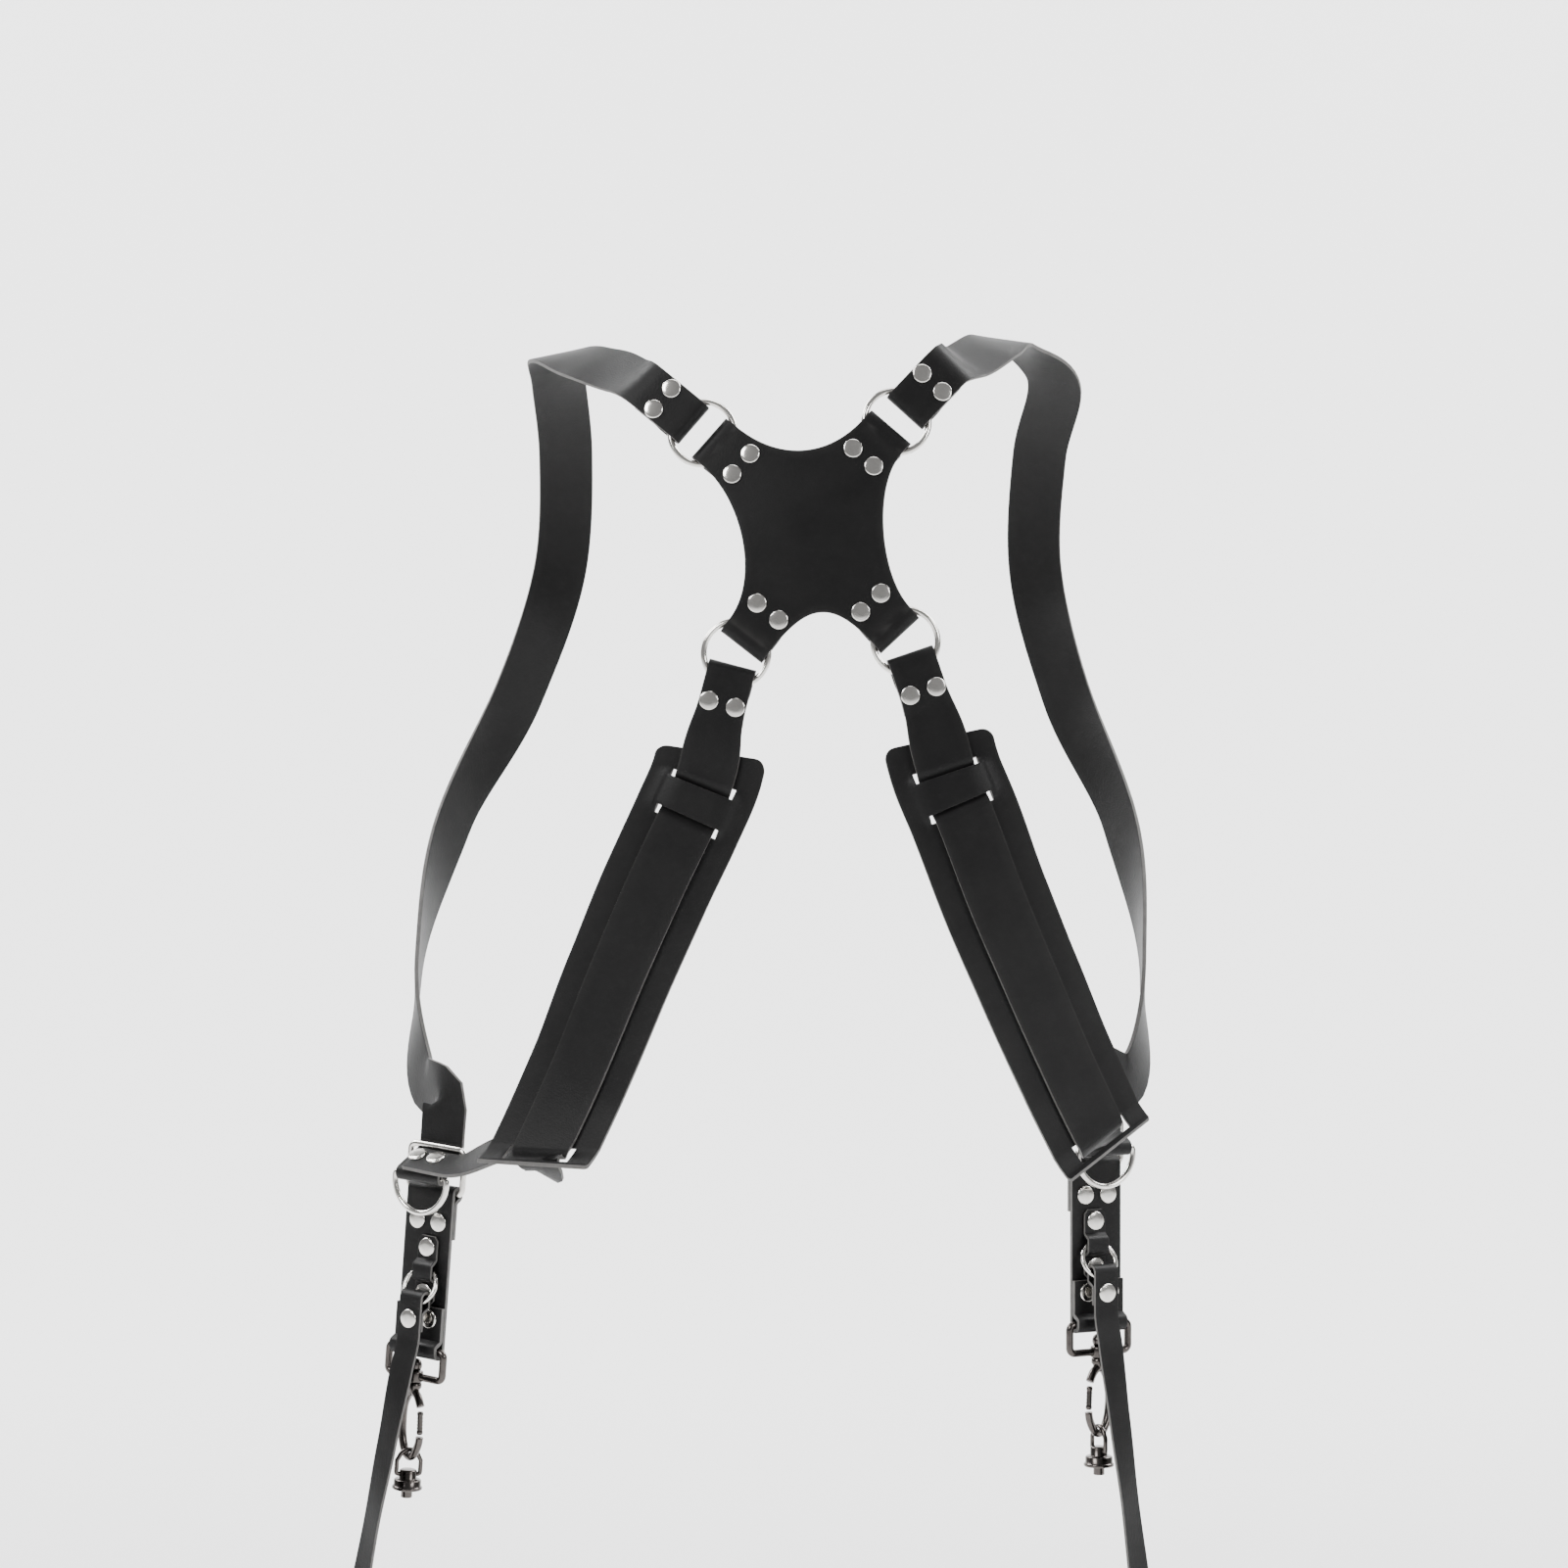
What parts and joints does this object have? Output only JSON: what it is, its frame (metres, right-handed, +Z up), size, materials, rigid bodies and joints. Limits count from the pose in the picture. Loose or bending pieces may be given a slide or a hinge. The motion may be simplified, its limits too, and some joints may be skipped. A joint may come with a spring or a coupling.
{
  "type": "dual camera harness",
  "caption": "Leather harness worn over both shoulders, with a cross-shaped back plate, padded side straps and a swivelling camera hanger at each hip.",
  "frame": {"origin": "between the wearer's shoulder tops, at the height where the straps rest on them", "axes": "+Z up, +Y the way the wearer faces, +X towards the wearer's right"},
  "size_m": [0.4282, 0.2432, 0.6789],
  "materials": {
    "leather": "black pebbled leather with a soft satin sheen",
    "nickel": "polished nickel plate",
    "gunmetal": "dark polished gunmetal plate"
  },
  "bodies": {
    "root": {"rivet_plate_upper_left_a": "nickel", "rivet_plate_upper_left_b": "nickel", "rivet_plate_upper_right_a": "nickel", "rivet_plate_upper_right_b": "nickel", "rivet_plate_lower_left_a": "nickel", "rivet_plate_lower_left_b": "nickel", "rivet_plate_lower_right_a": "nickel", "rivet_plate_lower_right_b": "nickel", "back_plate": "leather", "o_ring_upper_left": "nickel", "o_ring_upper_right": "nickel", "o_ring_lower_left": "nickel", "o_ring_lower_right": "nickel", "rivet_shoulder_left_a": "nickel", "rivet_shoulder_left_b": "nickel", "shoulder_strap_left": "leather", "rivet_side_left_a": "nickel", "rivet_side_left_b": "nickel", "side_strap_left": "leather", "pad_left": "leather", "hip_ring_left": "nickel", "rivet_tab_top_left_a": "nickel", "rivet_tab_top_left_b": "nickel", "rivet_tab_bottom_left": "nickel", "rivet_keeper_upper_left": "nickel", "rivet_keeper_lower_left": "nickel", "hip_tab_left": "leather", "keeper_left": "leather", "leash_ring_left": "nickel", "leash_left": "leather", "rivet_shoulder_right_a": "nickel", "rivet_shoulder_right_b": "nickel", "shoulder_strap_right": "leather", "rivet_side_right_a": "nickel", "rivet_side_right_b": "nickel", "side_strap_right": "leather", "pad_right": "leather", "hip_ring_right": "nickel", "rivet_tab_top_right_a": "nickel", "rivet_tab_top_right_b": "nickel", "rivet_tab_bottom_right": "nickel", "rivet_keeper_upper_right": "nickel", "rivet_keeper_lower_right": "nickel", "hip_tab_right": "leather", "keeper_right": "leather", "leash_ring_right": "nickel", "leash_right": "leather"},
    "d_ring_left": {"d_ring_left": "nickel"},
    "loop_left": {"snap_loop_left": "gunmetal"},
    "hook_left": {"hook_left": "gunmetal", "screw_ring_left": "gunmetal"},
    "gate_left": {"gate_left": "gunmetal"},
    "screw_left": {"camera_screw_left": "gunmetal"},
    "d_ring_right": {"d_ring_right": "nickel"},
    "loop_right": {"snap_loop_right": "gunmetal"},
    "hook_right": {"hook_right": "gunmetal", "screw_ring_right": "gunmetal"},
    "gate_right": {"gate_right": "gunmetal"},
    "screw_right": {"camera_screw_right": "gunmetal"}
  },
  "joints": [
    {"name": "d_ring_swing_left", "type": "hinge", "parent": "root", "child": "d_ring_left", "pos_m": [-0.20283, -0.06579, -0.44212], "axis": [-0.8355, 0.5426, 0.0872], "range_deg": [-12, 75]},
    {"name": "loop_swing_left", "type": "hinge", "parent": "root", "child": "loop_left", "pos_m": [-0.20607, -0.056, -0.53414], "axis": [-0.8355, 0.5426, 0.0872], "range_deg": [-80, 4]},
    {"name": "hook_swivel_left", "type": "hinge", "parent": "loop_left", "child": "hook_left", "pos_m": [-0.20774, -0.05491, -0.55685], "axis": [0.0731, -0.0475, 0.9962], "continuous": true},
    {"name": "gate_hinge_left", "type": "hinge", "parent": "hook_left", "child": "gate_left", "pos_m": [-0.20369, -0.06076, -0.56696], "axis": [0.7975, 0.6025, -0.0298], "range_deg": [0, 28], "stiffness_Nm_per_rad": 0.004, "springref_deg": -20.05},
    {"name": "screw_tilt_left", "type": "hinge", "parent": "hook_left", "child": "screw_left", "pos_m": [-0.21097, -0.05281, -0.60098], "axis": [0.9543, 0.2937, -0.056], "range_deg": [-70, 70]},
    {"name": "d_ring_swing_right", "type": "hinge", "parent": "root", "child": "d_ring_right", "pos_m": [0.15562, -0.06647, -0.42805], "axis": [-0.8829, -0.4695, 0], "range_deg": [-12, 65]},
    {"name": "loop_swing_right", "type": "hinge", "parent": "root", "child": "loop_right", "pos_m": [0.15259, -0.06077, -0.52042], "axis": [-0.8829, -0.4695, 0], "range_deg": [-80, 4]},
    {"name": "hook_swivel_right", "type": "hinge", "parent": "loop_right", "child": "hook_right", "pos_m": [0.15259, -0.06077, -0.54322], "axis": [0, 0, 1], "continuous": true},
    {"name": "gate_hinge_right", "type": "hinge", "parent": "hook_right", "child": "gate_right", "pos_m": [0.1473, -0.06665, -0.55271], "axis": [0.7431, -0.6691, 0], "range_deg": [0, 28], "stiffness_Nm_per_rad": 0.004, "springref_deg": -20.05},
    {"name": "screw_tilt_right", "type": "hinge", "parent": "hook_right", "child": "screw_right", "pos_m": [0.15259, -0.06077, -0.58752], "axis": [0.4695, -0.8829, 0], "range_deg": [-70, 70]}
  ]
}
